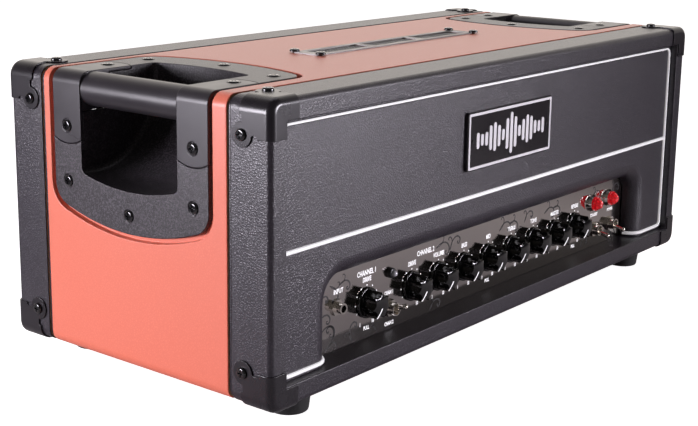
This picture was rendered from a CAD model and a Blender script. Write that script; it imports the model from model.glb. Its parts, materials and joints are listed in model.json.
"""Guitar amplifier head: materials, fine detail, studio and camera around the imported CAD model. Metres."""
import json
from math import cos, hypot, pi, radians, sin, sqrt

import bmesh
import bpy
from mathutils import Matrix, Vector


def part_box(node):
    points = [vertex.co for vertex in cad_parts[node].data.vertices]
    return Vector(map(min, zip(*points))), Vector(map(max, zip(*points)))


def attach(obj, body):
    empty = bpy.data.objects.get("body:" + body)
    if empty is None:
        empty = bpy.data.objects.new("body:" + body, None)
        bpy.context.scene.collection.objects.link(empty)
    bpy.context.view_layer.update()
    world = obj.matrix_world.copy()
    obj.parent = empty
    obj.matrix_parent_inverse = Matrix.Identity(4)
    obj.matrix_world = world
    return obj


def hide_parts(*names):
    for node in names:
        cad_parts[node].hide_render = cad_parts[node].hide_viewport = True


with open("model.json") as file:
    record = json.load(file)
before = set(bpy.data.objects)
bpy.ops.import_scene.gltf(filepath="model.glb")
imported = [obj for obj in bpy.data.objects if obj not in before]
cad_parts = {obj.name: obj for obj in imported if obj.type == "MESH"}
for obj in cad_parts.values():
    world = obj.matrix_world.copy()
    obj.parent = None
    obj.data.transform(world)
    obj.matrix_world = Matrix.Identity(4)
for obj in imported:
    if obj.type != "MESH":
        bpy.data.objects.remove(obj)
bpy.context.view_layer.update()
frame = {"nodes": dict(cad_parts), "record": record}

MM = 0.001
MERGE_DISTANCE = 2e-6
FACE_AREA_WEIGHT = 80
FLAT_ANGLE = 0.5
SHARP_ANGLE = 40
WHITE = (1.0, 1.0, 1.0, 1.0)
nodes = frame["nodes"]
scene = bpy.context.scene

KNOBS = ("drive_1", "drive_2", "volume", "bass", "mid", "treble", "tone", "master", "reverb")
PULL_KNOBS = ("drive_1", "mid", "reverb")
SIDES = ("left", "right")
RANGE_SOCKETS = ("From Min", "From Max", "To Min", "To Max")


# ---------------------------------------------------------------- materials


class Look:
    """A node material in the making: a principled shader and helpers that wire textures into it."""

    def __init__(self, name, colour, roughness, metallic=0.0, specular=0.5, coat=0.0, coat_roughness=0.1):
        self.material = bpy.data.materials.new(name)
        self.material.use_nodes = True
        self.tree = self.material.node_tree
        self.shader = self.tree.nodes["Principled BSDF"]
        self.set("Base Color", (*colour, 1.0))
        self.set("Roughness", roughness)
        self.set("Metallic", metallic)
        self.set("Specular IOR Level", specular)
        self.set("Coat Weight", coat)
        self.set("Coat Roughness", coat_roughness)
        self.material.diffuse_color = (*colour, 1.0)
        self.place = self.node("ShaderNodeTexCoord").outputs["Object"]
        self.relief = None

    def set(self, socket, value):
        self.shader.inputs[socket].default_value = value

    def node(self, kind, **settings):
        made = self.tree.nodes.new(kind)
        for key, value in settings.items():
            setattr(made, key, value)
        return made

    def link(self, source, target):
        self.tree.links.new(source, target)

    def stretched(self, scale):
        """The object's own coordinates, stretched by a scale on each axis."""
        mapping = self.node("ShaderNodeMapping")
        mapping.inputs["Scale"].default_value = scale
        self.link(self.place, mapping.inputs["Vector"])
        return mapping.outputs["Vector"]

    def noise(self, size, detail=3.0, roughness=0.55, place=None, distortion=0.0):
        """A cloudy noise whose features are about `size` metres across."""
        made = self.node("ShaderNodeTexNoise")
        made.inputs["Scale"].default_value = 1.0 / size
        made.inputs["Detail"].default_value = detail
        made.inputs["Roughness"].default_value = roughness
        made.inputs["Distortion"].default_value = distortion
        self.link(place or self.place, made.inputs["Vector"])
        return made.outputs["Fac"]

    def cells(self, size, feature="DISTANCE_TO_EDGE", randomness=1.0, place=None):
        """A pattern of cells about `size` metres across."""
        made = self.node("ShaderNodeTexVoronoi", feature=feature)
        made.inputs["Scale"].default_value = 1.0 / size
        made.inputs["Randomness"].default_value = randomness
        self.link(place or self.place, made.inputs["Vector"])
        return made.outputs["Distance"]

    def warped(self, size, amount):
        """The object's coordinates, pushed about by a noise."""
        noise = self.node("ShaderNodeTexNoise")
        noise.inputs["Scale"].default_value = 1.0 / size
        self.link(self.place, noise.inputs["Vector"])
        shifted = self.node("ShaderNodeVectorMath", operation="MULTIPLY_ADD")
        shifted.inputs[1].default_value = (amount, amount, amount)
        self.link(noise.outputs["Color"], shifted.inputs[0])
        self.link(self.place, shifted.inputs[2])
        return shifted.outputs["Vector"]

    def curve(self, value, low, high, out_low=0.0, out_high=1.0):
        """A value's range, mapped to another and clamped."""
        made = self.node("ShaderNodeMapRange", interpolation_type="SMOOTHSTEP")
        for socket, number in zip(RANGE_SOCKETS, (low, high, out_low, out_high)):
            made.inputs[socket].default_value = number
        self.link(value, made.inputs["Value"])
        return made.outputs["Result"]

    def combine(self, operation, a, b):
        """Two values, or a value and a number, through one math node."""
        made = self.node("ShaderNodeMath", operation=operation)
        for socket, value in zip(made.inputs, (a, b)):
            if isinstance(value, (int, float)):
                socket.default_value = value
            else:
                self.link(value, socket)
        return made.outputs["Value"]

    def tint(self, factor, dark, light):
        """The base colour runs from one colour to another with a factor."""
        mix = self.node("ShaderNodeMix", data_type="RGBA")
        mix.inputs["A"].default_value = (*dark, 1.0)
        mix.inputs["B"].default_value = (*light, 1.0)
        self.link(factor, mix.inputs["Factor"])
        self.link(mix.outputs["Result"], self.shader.inputs["Base Color"])

    def gloss(self, factor, low, high):
        """The roughness runs from one value to another with a factor."""
        self.link(self.curve(factor, 0.0, 1.0, low, high), self.shader.inputs["Roughness"])

    def bump(self, height, depth, strength=1.0):
        """Adds a layer of relief, `depth` metres deep."""
        made = self.node("ShaderNodeBump")
        made.inputs["Strength"].default_value = strength
        made.inputs["Distance"].default_value = depth
        self.link(height, made.inputs["Height"])
        if self.relief:
            self.link(self.relief, made.inputs["Normal"])
        self.relief = made.outputs["Normal"]
        self.link(self.relief, self.shader.inputs["Normal"])


def vinyl(name, dark, light, roughness, depth, specular=0.5):
    """Vinyl covering: a fine leather grain of warped cells with creases between, and slow changes of tone."""
    look = Look(name, light, roughness, specular=specular)
    warped = look.warped(0.0035, 0.0018)
    creases = look.curve(look.cells(0.0021, place=warped), 0.0, 0.34)
    fine = look.noise(0.0011, detail=4.0)
    slow = look.noise(0.05, detail=2.0)
    look.tint(look.combine("MULTIPLY", creases, look.curve(slow, 0.3, 0.7, 0.75, 1.0)), dark, light)
    look.bump(creases, depth)
    look.bump(fine, depth * 0.22)
    look.bump(slow, depth * 2, 0.35)
    look.gloss(fine, roughness - 0.06, roughness + 0.10)
    return look.material


def speckled(name, dark, light, roughness, depth=0.00016):
    """Textured moulding: a spark-eroded grain with pale specks."""
    grain = 0.0009
    look = Look(name, light, roughness, specular=0.45)
    grains = look.cells(grain, feature="F1")
    noise = look.noise(grain * 1.6, detail=3.0)
    look.tint(look.curve(noise, 0.42, 0.68), dark, light)
    look.bump(grains, depth)
    look.bump(noise, depth)
    look.gloss(noise, roughness - 0.08, roughness + 0.08)
    return look.material


def satin(
    name, colour, roughness, specular=0.5, coat=0.0, mottle=0.15, depth=0.00004, glow=0.0
):
    """Smooth moulding or paint: faint orange peel, and a slight unevenness of tone and gloss. It may glow."""
    look = Look(name, colour, roughness, specular=specular, coat=coat)
    look.set("Emission Color", WHITE)
    look.set("Emission Strength", glow)
    slow = look.noise(0.03, detail=3.0)
    peel = look.noise(0.0016, detail=2.0)
    look.tint(slow, [c * (1 - mottle) for c in colour], [min(1.0, c * (1 + mottle)) for c in colour])
    look.bump(peel, depth)
    look.gloss(slow, roughness * 0.85, roughness * 1.15)
    return look.material


def metal(name, colour, roughness, brushed=None, wear=0.2):
    """Metal: a fine brushing along one axis, if any, and cloudy handling marks in the gloss."""
    look = Look(name, colour, roughness, metallic=1.0)
    clouds = look.noise(0.02, detail=4.0)
    look.tint(clouds, [c * (1 - wear) for c in colour], colour)
    look.gloss(clouds, roughness * 0.7, roughness * 1.4)
    if brushed:
        lines = look.noise(0.0006, detail=2.0, place=look.stretched(brushed))
        look.bump(lines, 0.00003, 0.6)
    return look.material


def plywood():
    """Birch plywood: long soft figure on the faces."""
    look = Look("plywood", (0.55, 0.38, 0.22), 0.6)
    figure = look.noise(0.02, detail=5.0, place=look.stretched((0.12, 1.0, 1.0)), distortion=0.6)
    look.tint(figure, (0.42, 0.27, 0.14), (0.66, 0.48, 0.29))
    look.bump(look.noise(0.0012, detail=3.0, place=look.stretched((0.08, 1.0, 1.0))), 0.0001)
    return look.material


def jewel(name, dark, light, glow):
    """A lit lamp jewel: facets of uneven depth of colour under a hard gloss."""
    look = Look(name, light, 0.08, coat=1.0, coat_roughness=0.03)
    facets = look.cells(0.0030, feature="F1", randomness=0.6)
    look.tint(look.curve(facets, 0.15, 0.75), light, dark)
    look.set("Emission Color", (1.0, 0.01, 0.02, 1.0))
    look.set("Emission Strength", glow)
    look.bump(facets, 0.0012)
    return look.material


def clear(name, colour, roughness=0.03, ior=1.5):
    """Clear glass."""
    look = Look(name, colour, roughness)
    look.set("Transmission Weight", 1.0)
    look.set("IOR", ior)
    look.bump(look.noise(0.004, detail=1.0), 0.00002, 0.4)
    return look.material


BLACK_VINYL = vinyl(
    "black_vinyl", (0.014, 0.011, 0.016), (0.032, 0.027, 0.037), 0.33, depth=0.00009, specular=0.6
)
BAFFLE_VINYL = vinyl(
    "baffle_vinyl", (0.016, 0.013, 0.018), (0.036, 0.030, 0.042), 0.33, depth=0.00012, specular=0.62
)
CORAL_VINYL = vinyl("coral_vinyl", (0.73, 0.178, 0.110), (0.77, 0.20, 0.127), 0.34, depth=0.00002)
HANDLE_PLASTIC = speckled("handle_plastic", (0.012, 0.010, 0.012), (0.058, 0.050, 0.059), 0.36, depth=0.00011)
STRAP_PLASTIC = satin("strap_plastic", (0.026, 0.023, 0.027), 0.34, mottle=0.2, depth=0.00003)
GUARD_PLASTIC = satin("guard_plastic", (0.013, 0.011, 0.014), 0.28, mottle=0.25, depth=0.00001)
PIPING = satin("white_piping", (0.93, 0.93, 0.93), 0.24, mottle=0.03, glow=0.22)
MIRROR_STEEL = metal("mirror_steel", (0.66, 0.62, 0.60), 0.08, brushed=(0.02, 1.0, 1.0), wear=0.06)
ZINC = metal("zinc_steel", (0.50, 0.51, 0.52), 0.32, wear=0.3)
BRIGHT = metal("bright_metal", (0.90, 0.86, 0.80), 0.10, wear=0.1)
VENT_METAL = metal("vent_metal", (0.26, 0.25, 0.24), 0.42, wear=0.1)
MESH_METAL = metal("mesh_metal", (0.16, 0.16, 0.16), 0.45, wear=0.2)
ALUMINIUM = metal("aluminium", (0.72, 0.72, 0.73), 0.28, brushed=(1.0, 0.05, 1.0))
BLACK_STEEL = satin("black_steel", (0.006, 0.006, 0.007), 0.14, coat=0.6, mottle=0.3)
KNOB_SIDE = satin("knob_black", (0.002, 0.002, 0.0025), 0.07, coat=0.6, mottle=0.2)
KNOB_FACE = satin("knob_face", (0.050, 0.048, 0.056), 0.30, mottle=0.1)
BLACK_PLASTIC = satin("black_plastic", (0.010, 0.010, 0.011), 0.35, mottle=0.2)
RUBBER = speckled("foot_rubber", (0.010, 0.010, 0.010), (0.020, 0.020, 0.020), 0.6, depth=0.00005)
BADGE_BLACK = satin("badge_black", (0.012, 0.010, 0.012), 0.22, coat=0.5, mottle=0.1)
BADGE_SILVER = satin("badge_silver", (0.80, 0.79, 0.81), 0.26, coat=0.4, mottle=0.04)
RED_JEWEL = jewel("jewel_red", (0.16, 0.0, 0.003), (0.80, 0.006, 0.012), 0.28)
LAMP_LENS = satin("lens_clear", (0.50, 0.50, 0.53), 0.06, coat=1.0, mottle=0.3)
VALVE_GLASS = clear("valve_glass", (0.96, 0.98, 0.98), 0.02, 1.47)
LABEL_WHITE = satin("label_white", (0.93, 0.93, 0.93), 0.5, mottle=0.03, glow=0.35)
LINE_BLACK = satin("line_black", (0.012, 0.010, 0.010), 0.5, mottle=0.1)
LAMINATION = satin("lamination", (0.025, 0.025, 0.027), 0.45, mottle=0.4)
BOARD_GREEN = satin("board_green", (0.02, 0.16, 0.07), 0.4, coat=0.4, mottle=0.2)
CERAMIC = satin("ceramic", (0.66, 0.62, 0.52), 0.35, mottle=0.08)
CAN_BLUE = satin("can_blue", (0.02, 0.05, 0.22), 0.3, coat=0.3)
PLYWOOD = plywood()

FINISH = {
    "plywood": PLYWOOD,
    "black_vinyl": BLACK_VINYL,
    "baffle_vinyl": BAFFLE_VINYL,
    "coral_vinyl": CORAL_VINYL,
    "white_piping": PIPING,
    "badge_black": BADGE_BLACK,
    "badge_silver": BADGE_SILVER,
    "mirror_steel": MIRROR_STEEL,
    "zinc_steel": ZINC,
    "knob_black": KNOB_SIDE,
    "black_plastic": BLACK_PLASTIC,
    "handle_plastic": HANDLE_PLASTIC,
    "bright_metal": BRIGHT,
    "aluminium": ALUMINIUM,
    "jewel_red": RED_JEWEL,
    "lens_clear": LAMP_LENS,
    "black_steel": BLACK_STEEL,
    "foot_rubber": RUBBER,
    "lamination": LAMINATION,
    "board_green": BOARD_GREEN,
    "valve_glass": VALVE_GLASS,
    "ceramic": CERAMIC,
    "can_blue": CAN_BLUE,
}
SPECIAL = {"vent_frame": VENT_METAL, "vent_mesh": MESH_METAL}
SLOT_OF = {part["node"]: part["material_slot"] for part in frame["record"]["subparts"]}
BODY_OF = {node: body for body, members in frame["record"]["behaviour"]["bodies"].items() for node in members}


def finish_cad_nodes():
    """Every CAD node gets the finish of its material slot."""
    for name, node in nodes.items():
        node.data.materials.clear()
        node.data.materials.append(SPECIAL.get(name) or FINISH[SLOT_OF[name]])


# ---------------------------------------------------------------- making pieces


def add_piece(name, mesh, body, slot, *materials):
    """A new object from a mesh, which rides on a body."""
    piece = bpy.data.objects.new(name, mesh)
    scene.collection.objects.link(piece)
    for material in materials:
        mesh.materials.append(material)
    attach(piece, body)
    return piece


def evaluated(obj):
    """The mesh of an object after its modifiers."""
    bpy.context.view_layer.update()
    depsgraph = bpy.context.evaluated_depsgraph_get()
    return bpy.data.meshes.new_from_object(obj.evaluated_get(depsgraph))


def flat_where_flat(mesh):
    """The same mesh, with its shading led by the larger faces, so that flat faces look flat."""
    draft = bpy.data.objects.new("draft", mesh)
    scene.collection.objects.link(draft)
    weighted = draft.modifiers.new("weighted", "WEIGHTED_NORMAL")
    weighted.keep_sharp = True
    weighted.weight = FACE_AREA_WEIGHT
    result = evaluated(draft)
    bpy.data.objects.remove(draft)
    result.materials.clear()
    return result


def softened(node, width, angle=35.0, segments=3, materials=None, pick=None):
    """A copy of a CAD node with its sharp edges rounded. `pick` chooses each face's material."""
    bm = bmesh.new()
    bm.from_mesh(nodes[node].data)
    bmesh.ops.remove_doubles(bm, verts=bm.verts, dist=MERGE_DISTANCE)
    bmesh.ops.dissolve_limit(bm, angle_limit=radians(FLAT_ANGLE), verts=bm.verts, edges=bm.edges)
    mesh = bpy.data.meshes.new(node + "_detail")
    bm.to_mesh(mesh)
    bm.free()
    draft = bpy.data.objects.new("draft", mesh)
    scene.collection.objects.link(draft)
    bevel = draft.modifiers.new("round", "BEVEL")
    bevel.width = width
    bevel.segments = segments
    bevel.limit_method = "ANGLE"
    bevel.angle_limit = radians(angle)
    bevel.use_clamp_overlap = False
    bevel.harden_normals = False
    mesh = evaluated(draft)
    bpy.data.objects.remove(draft)
    mesh.name = node + "_detail"
    mesh.materials.clear()
    for polygon in mesh.polygons:
        polygon.use_smooth = True
        polygon.material_index = pick(polygon) if pick else 0
    mesh.set_sharp_from_angle(angle=radians(SHARP_ANGLE))
    mesh = flat_where_flat(mesh)
    slot = SLOT_OF[node]
    piece = add_piece(node + "_detail", mesh, BODY_OF[node], slot, *(materials or [FINISH[slot]]))
    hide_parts(node)
    return piece


def mesh_from(name, build):
    """A mesh that a function fills in."""
    bm = bmesh.new()
    build(bm)
    bmesh.ops.recalc_face_normals(bm, faces=bm.faces)
    mesh = bpy.data.meshes.new(name)
    bm.to_mesh(mesh)
    bm.free()
    return mesh


# ---------------------------------------------------------------- covering


def rounded_ring(half_x, z0, z1, radius, steps=8):
    """Points of a rounded rectangle in the X-Z plane, all the way round."""
    corners = ((1, z1, 0), (-1, z1, 90), (-1, z0, 180), (1, z0, 270))
    points = []
    for side, z, start in corners:
        cx = side * (half_x - radius)
        cz = z - radius if z == z1 else z + radius
        for i in range(steps + 1):
            angle = radians(start + 90 * i / steps)
            points.append((cx + radius * cos(angle), cz + radius * sin(angle)))
    return points


def seam_strips():
    """The black tucked-in edge of vinyl at the bottom of both seams, as a low round bead."""
    low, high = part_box("covering_centre")
    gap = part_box("covering_front")[1].y
    seam_y = (gap + low.y) / 2
    depth = 2.45 * MM
    bead_w, bead_h = 1.9 * MM, 1.0 * MM
    corner_r = 11 * MM
    bead_steps = 6

    def build(bm):
        for y in (seam_y, -seam_y):
            rows = []
            for i in range(bead_steps + 1):
                angle = pi * i / bead_steps
                sunk = depth - bead_h * sin(angle)
                ring = rounded_ring(high.x - sunk, low.z + sunk, high.z - sunk, corner_r - sunk)
                offset = bead_w * cos(angle)
                rows.append([bm.verts.new((x, y + offset, z)) for x, z in ring])
            for row, following in zip(rows, rows[1:]):
                for i in range(len(row)):
                    j = (i + 1) % len(row)
                    bm.faces.new((row[i], row[j], following[j], following[i]))

    mesh = mesh_from("seam_strips", build)
    for polygon in mesh.polygons:
        polygon.use_smooth = True
    add_piece("seam_strips", mesh, "root", "black_vinyl", BLACK_VINYL)


def make_piping():
    """The piping, with its top run slimmer, because the cabinet's rim presses on it."""
    slimmer = 0.7 * MM
    full_to, fade_to = 4 * MM, 14 * MM
    mesh = nodes["front_piping"].data.copy()
    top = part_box("front_piping")[1].z
    inward = [-normal.vector for normal in mesh.vertex_normals]
    for vertex, way in zip(mesh.vertices, inward):
        nearness = min(1.0, max(0.0, (fade_to - (top - vertex.co.z)) / (fade_to - full_to)))
        vertex.co += way * slimmer * nearness
    mesh.materials.clear()
    piece = add_piece("front_piping_detail", mesh, "root", "white_piping", PIPING)
    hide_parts("front_piping")


def make_cabinet():
    """The coverings, protectors and feet with rounded edges, and the trim between them."""
    for node in ("covering_front", "covering_centre", "covering_rear"):
        softened(node, 0.9 * MM)
    seam_strips()
    softened("corner_protectors", 0.45 * MM, materials=[GUARD_PLASTIC])
    softened("feet", 0.6 * MM)
    make_piping()


def make_handles():
    """Both handles with rounded edges: a grained dish and a smooth grip."""
    for side in SIDES:
        softened("handle_dish_" + side, 0.7 * MM)
        softened("handle_grip_" + side, 0.8 * MM, materials=[STRAP_PLASTIC])


# ---------------------------------------------------------------- front

LETTER_NARROWING = 0.74
PRINT_LIFT = 0.04 * MM
PRINT_THICKNESS = 0.03 * MM
SCROLL_LIFT = 0.02 * MM
DOT_SIDES = 12
POINTER_ANGLE = 240
DIAL_STEP = 30


def panel_y():
    """Where the control panel's front face is."""
    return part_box("control_panel")[0].y


def text_mesh(words, size, x, z, y, weight):
    """Flat, narrow lettering on a plane that faces the front. `weight` thickens its strokes."""
    curve = bpy.data.curves.new("words", "FONT")
    curve.body = words
    curve.size = size
    curve.align_x = "CENTER"
    curve.align_y = "CENTER"
    curve.offset = weight
    curve.extrude = PRINT_THICKNESS
    curve.resolution_u = 3
    draft = bpy.data.objects.new("words", curve)
    scene.collection.objects.link(draft)
    mesh = evaluated(draft)
    bpy.data.objects.remove(draft)
    narrow = Matrix.Diagonal((LETTER_NARROWING, 1.0, 1.0, 1.0))
    mesh.transform(Matrix.Translation((x, y, z)) @ Matrix.Rotation(radians(90), 4, "X") @ narrow)
    return mesh


def joined(name, meshes):
    """Several meshes as one."""
    bm = bmesh.new()
    for mesh in meshes:
        bm.from_mesh(mesh)
    result = bpy.data.meshes.new(name)
    bm.to_mesh(result)
    bm.free()
    return result


def dot_mesh(x, y, z, radius):
    """A small flat dot on the panel."""

    def build(bm):
        bmesh.ops.create_circle(bm, cap_ends=True, segments=DOT_SIDES, radius=radius)
        place = Matrix.Translation((x, y, z)) @ Matrix.Rotation(radians(90), 4, "X")
        bmesh.ops.transform(bm, verts=bm.verts, matrix=place)

    return mesh_from("dot", build)


def centre(node):
    """The middle of a CAD node's box, as x and z."""
    low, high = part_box(node)
    return (low.x + high.x) / 2, (low.z + high.z) / 2


def polar(x, z, radius, degrees):
    """A point at a radius and an angle from (x, z), on the panel."""
    angle = radians(degrees)
    return x + radius * cos(angle), z + radius * sin(angle)


def make_labels():
    """Screen-printed words, dial numbers and dots on the control panel."""
    y = panel_y() - PRINT_LIFT
    small, large, fine = 5.9 * MM, 6.6 * MM, 4.8 * MM
    stroke = 0.17 * MM
    dial_r, dot_r = 15.6 * MM, 0.75 * MM
    number_x, number_z = 8.8 * MM, -18.4 * MM
    title_z, pull_z = 20.6 * MM, -23.0 * MM
    input_z = 88.9 * MM
    meshes = []

    def say(words, x, z, size=small):
        meshes.append(text_mesh(words, size, x, z, y, stroke))

    say("INPUT", centre("input_jack")[0] + 3 * MM, input_z)
    for name in KNOBS:
        x, z = centre("knob_" + name)
        say("1", x - number_x, z + number_z, fine)
        say("10", x + number_x, z + number_z, fine)
        title = name.replace("_1", "").replace("_2", "").upper()
        say(title, x, z + title_z)
        for i in range(1, 10):
            dot_x, dot_z = polar(x, z, dial_r, POINTER_ANGLE - DIAL_STEP * i)
            meshes.append(dot_mesh(dot_x, y, dot_z, dot_r))
        if name in PULL_KNOBS:
            say("PULL", x, z + pull_z, fine)
    first_x, row_z = centre("knob_drive_1")
    second_x = (centre("knob_drive_2")[0] + centre("knob_volume")[0]) / 2
    channel_x, standby_x, power_x = (centre("lever_" + name)[0] for name in ("channel", "standby", "power"))
    say("CHANNEL 1", first_x - 0.5 * MM, row_z + 26.8 * MM, large)
    say("CHANNEL 2", second_x, row_z + 27.4 * MM, large)
    say("CHAN 1", channel_x - 1 * MM, row_z + 1.4 * MM, fine)
    say("CHAN 2", channel_x, row_z - 27.0 * MM, fine)
    say("STANDBY", standby_x, row_z + 3.2 * MM, fine)
    say("POWER", power_x, row_z + 3.2 * MM, fine)
    mesh = joined("panel_labels", meshes)
    add_piece("panel_labels", mesh, "root", "black_plastic", LABEL_WHITE)


def line_mesh(points, width, y):
    """A flat ribbon line on the panel through points (x, z), tapering at both ends."""
    count = len(points)
    tip_share = 0.35

    def build(bm):
        left, right = [], []
        for i, (x, z) in enumerate(points):
            x0, z0 = points[max(0, i - 1)]
            x1, z1 = points[min(count - 1, i + 1)]
            length = hypot(x1 - x0, z1 - z0) or 1.0
            share = i / (count - 1)
            half = width / 2 * (tip_share + (1 - tip_share) * sin(pi * share) ** 0.5)
            nx, nz = -(z1 - z0) / length * half, (x1 - x0) / length * half
            left.append(bm.verts.new((x + nx, y, z + nz)))
            right.append(bm.verts.new((x - nx, y, z - nz)))
        for i in range(count - 1):
            bm.faces.new((left[i], left[i + 1], right[i + 1], right[i]))

    return mesh_from("line", build)


def scroll(x, z, size, heading, turn, coils=1.6):
    """Points of a stem that curls up into a spiral: its steps shorten and its turns tighten on the way."""
    steps = 60
    length, shortening = 3.2 * size, 1.15
    first_bend, bend_growth = 0.25, 1.5
    points = []
    angle = radians(heading)
    for i in range(steps + 1):
        share = i / steps
        points.append((x, z))
        step = length * (1.0 - share) ** shortening / steps
        x += step * cos(angle)
        z += step * sin(angle)
        angle += turn * 2 * pi * coils / steps * (first_bend + bend_growth * share)
    return points


# Each stem of the scrollwork: where it starts in mm, its size in mm, its heading, and which way it curls.
STEMS = (
    (-262, 42, 34, 78, -1), (-262, 60, 24, 70, -1), (-250, 40, 26, 25, 1), (-244, 96, 22, -20, -1),
    (-214, 40, 20, 120, -1), (-180, 42, 16, 140, -1), (-232, 94, 18, 30, -1), (-258, 84, 14, 50, -1),
    (-100, 40, 20, 60, -1), (-92, 97, 26, 28, -1), (-70, 90, 22, 75, -1), (14, 92, 24, 48, -1),
    (32, 96, 20, 20, -1), (60, 92, 20, 70, -1), (98, 94, 24, 36, -1), (116, 97, 18, 15, -1),
    (176, 42, 18, 70, -1), (196, 92, 22, 50, -1), (240, 92, 20, 60, -1), (254, 42, 18, 110, 1),
)


def make_scrollwork():
    """A plain scroll pattern printed on the panel between the controls: each stem with a side shoot."""
    y = panel_y() - SCROLL_LIFT
    stem_w, shoot_w = 1.7 * MM, 1.2 * MM
    shoot_size, shoot_angle, shoot_coils = 0.6, 24, 1.1
    lines = []
    for x, z, size, heading, turn in STEMS:
        x, z, size = x * MM, z * MM, size * MM
        stem = scroll(x, z, size, heading, turn)
        shoot = scroll(x, z, size * shoot_size, heading + shoot_angle * turn, -turn, shoot_coils)
        lines += [line_mesh(stem, stem_w, y), line_mesh(shoot, shoot_w, y)]
    mesh = joined("panel_scrollwork", lines)
    add_piece("panel_scrollwork", mesh, "root", "black_plastic", LINE_BLACK)


def make_pointer(name):
    """The white pointer line that lies on a knob's domed face."""
    node = "knob_" + name
    x, z = centre(node)
    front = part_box(node)[0].y
    tip_r, crown = 12.0 * MM, 2.0 * MM
    dome_r = (tip_r**2 + crown**2) / (2 * crown)
    start, length, half_w = 1.8 * MM, 9.9 * MM, 0.65 * MM
    lift, thickness = 0.10 * MM, 0.3 * MM
    steps = 12
    way = polar(0.0, 0.0, 1.0, POINTER_ANGLE)
    side = (-way[1], way[0])

    def on_dome(r, s):
        dx = way[0] * r + side[0] * s
        dz = way[1] * r + side[1] * s
        drop = dome_r - sqrt(dome_r**2 - dx**2 - dz**2)
        return x + dx, front + drop - lift, z + dz

    def build(bm):
        rows = []
        for i in range(steps + 1):
            r = start + length * i / steps
            edge = half_w * (0.55 if i in (0, steps) else 1.0)
            rows.append([bm.verts.new(on_dome(r, s)) for s in (-edge, 0.0, edge)])
        for row, following in zip(rows, rows[1:]):
            for a in range(2):
                bm.faces.new((row[a], row[a + 1], following[a + 1], following[a]))
        made = bmesh.ops.extrude_face_region(bm, geom=bm.faces[:])
        sunk = [v for v in made["geom"] if isinstance(v, bmesh.types.BMVert)]
        bmesh.ops.translate(bm, verts=sunk, vec=(0, thickness, 0))

    mesh = mesh_from("pointer_" + name, build)
    add_piece("pointer_" + name, mesh, node, "knob_black", LABEL_WHITE)


def make_knobs():
    """The knobs, with glossy sides and a satin face, and their pointers."""
    face_depth, face_lean = 2.4 * MM, -0.85
    for name in KNOBS:
        node = "knob_" + name
        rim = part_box(node)[0].y + face_depth

        def is_face(polygon):
            return 1 if polygon.center.y < rim and polygon.normal.y < face_lean else 0

        softened(node, 0.25 * MM, angle=30, materials=[KNOB_SIDE, KNOB_FACE], pick=is_face)
        make_pointer(name)


# ---------------------------------------------------------------- studio

LAMP_COLOUR = (0.97, 0.92, 1.02)
SURROUND_COLOUR = (1.0, 0.93, 0.87, 1.0)
FLOOR_SIZE = 16


def aim(obj, target):
    """Turns a lamp to a target."""
    obj.rotation_euler = (Vector(target) - obj.location).to_track_quat("-Z", "Y").to_euler()


def softbox(name, place, target, width, height, power, spread=180.0):
    """A rectangular lamp at a place, turned to a target, that the camera doesn't see."""
    light = bpy.data.lights.new(name, "AREA")
    light.color = LAMP_COLOUR
    light.spread = radians(spread)
    light.shape = "RECTANGLE"
    light.size, light.size_y = width, height
    light.energy = power
    lamp = bpy.data.objects.new(name, light)
    lamp.location = place
    scene.collection.objects.link(lamp)
    aim(lamp, target)
    lamp.visible_camera = False
    return lamp


def keep_dark(lamp, *pieces):
    """A lamp doesn't light these pieces, nor shows in them."""
    kept = bpy.data.collections.new(lamp.name + "_skips")
    for piece in pieces:
        kept.objects.link(piece)
    lamp.light_linking.receiver_collection = kept
    for item in kept.collection_objects:
        item.light_linking.link_state = "EXCLUDE"


def stage_plane(name, height, look):
    """A wide level plane that belongs to the studio."""
    bpy.ops.mesh.primitive_plane_add(size=FLOOR_SIZE, location=(0, 0, height))
    plane = bpy.context.object
    plane.name = name
    plane.visible_shadow = False
    plane.data.materials.append(look.material)
    return plane


def make_floor():
    """A white floor for the eye, and a card just under it for the bounced light, which darkens outwards."""
    paper = Look("paper", (0.80, 0.80, 0.80), 0.9, specular=0.0)
    paper.set("Emission Color", WHITE)
    paper.set("Emission Strength", 0.92)
    floor = stage_plane("floor", 0.0, paper)
    floor.visible_diffuse = floor.visible_glossy = floor.visible_transmission = False
    near_tone, far_tone = (0.58, 0.56, 0.56), (0.09, 0.085, 0.09)
    card = Look("card", near_tone, 0.9, specular=0.0)
    away = card.node("ShaderNodeVectorMath", operation="DISTANCE")
    away.inputs[1].default_value = (-0.1, -0.3, 0.0)
    card.link(card.place, away.inputs[0])
    card.tint(card.curve(away.outputs["Value"], 0.5, 1.05), near_tone, far_tone)
    bounce = stage_plane("floor_bounce", -MM, card)
    bounce.visible_camera = False


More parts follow.
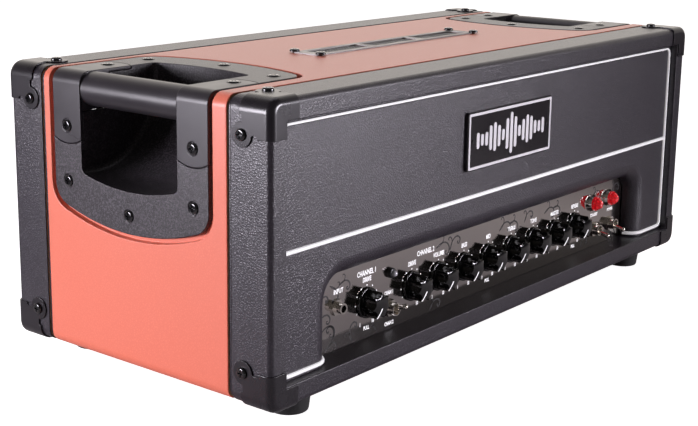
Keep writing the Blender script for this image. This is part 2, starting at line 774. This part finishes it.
def make_world():
    """A surround that is bright low down behind the object and dark elsewhere, and plain white to the eye."""
    world = bpy.data.worlds.new("studio")
    scene.world = world
    world.use_nodes = True
    tree = world.node_tree
    background = tree.nodes["Background"]
    way = tree.nodes.new("ShaderNodeTexCoord").outputs["Generated"]
    seen = tree.nodes.new("ShaderNodeLightPath").outputs["Is Camera Ray"]

    def lobe(direction, start, end, low, high):
        """A level that runs from low to high as rays come nearer to a direction."""
        dot = tree.nodes.new("ShaderNodeVectorMath")
        dot.operation = "DOT_PRODUCT"
        dot.inputs[1].default_value = Vector(direction).normalized()
        tree.links.new(way, dot.inputs[0])
        level = tree.nodes.new("ShaderNodeMapRange")
        level.interpolation_type = "SMOOTHSTEP"
        for socket, value in zip(RANGE_SOCKETS, (start, end, low, high)):
            level.inputs[socket].default_value = value
        tree.links.new(dot.outputs["Value"], level.inputs["Value"])
        return level.outputs["Result"]

    def for_the_eye(kind, bright, target):
        """Sends a target one value for the camera, and gives back the socket for all other rays."""
        mix = tree.nodes.new("ShaderNodeMix")
        mix.data_type = kind
        tree.links.new(seen, mix.inputs["Factor"])
        mix.inputs["B"].default_value = bright
        tree.links.new(mix.outputs["Result"], target)
        return mix.inputs["A"]

    times = tree.nodes.new("ShaderNodeMath")
    times.operation = "MULTIPLY"
    tree.links.new(lobe((0.78, 0.62, 0.0), 0.25, 0.9, 0.10, 1.45), times.inputs[0])
    tree.links.new(lobe((0.0, 0.0, 1.0), 0.35, 0.95, 1.0, 0.45), times.inputs[1])
    tree.links.new(times.outputs["Value"], for_the_eye("FLOAT", 1.0, background.inputs["Strength"]))
    for_the_eye("RGBA", WHITE, background.inputs["Color"]).default_value = SURROUND_COLOUR


def make_studio():
    """Floor and surround, low boxes for the front and the left end, one overhead, and a fill for the rear."""
    make_floor()
    make_world()
    near_corner, middle, rear = (-0.36, -0.12, 0.15), (0, 0, 0.14), (0, 0.12, 0.12)
    right_lamp = softbox("box_right", (0.85, -1.95, 0.34), near_corner, 0.9, 0.5, 5.0, 56)
    softbox("box_left", (-1.85, 0.85, 0.34), near_corner, 0.7, 0.5, 15, 110)
    softbox("box_top", (0.5, 0.6, 2.4), middle, 1.8, 1.4, 8.5)
    rear_lamp = softbox("box_rear", (-0.2, 2.3, 0.55), rear, 1.2, 0.6, 6, 110)
    rear_lamp.visible_glossy = False
    keep_dark(right_lamp, nodes["control_panel"])
    scene.view_settings.view_transform = "Standard"


def make_camera():
    """The view from the left of the front, a little above the top."""
    yaw, pitch, roll = radians(-50.97), radians(-12.84), radians(0.68)
    forward = Vector((sin(-yaw) * cos(pitch), cos(yaw) * cos(pitch), sin(pitch)))
    right = forward.cross(Vector((0, 0, 1))).normalized()
    up = right.cross(forward)
    right, up = cos(roll) * right + sin(roll) * up, cos(roll) * up - sin(roll) * right
    place = (-1.08189, -0.81513, 0.42896)
    camera = bpy.data.cameras.new("camera")
    camera.sensor_width = 36
    camera.lens = 70.59
    camera.shift_x, camera.shift_y = 0.01395, -0.03996
    camera.clip_start = 0.05
    holder = bpy.data.objects.new("camera", camera)
    rows = [(right[i], up[i], -forward[i]) for i in range(3)]
    holder.matrix_world = Matrix.Translation(place) @ Matrix(rows).to_4x4()
    scene.collection.objects.link(holder)
    scene.camera = holder


finish_cad_nodes()
make_cabinet()
make_handles()
make_knobs()
make_labels()
make_scrollwork()
make_studio()
make_camera()
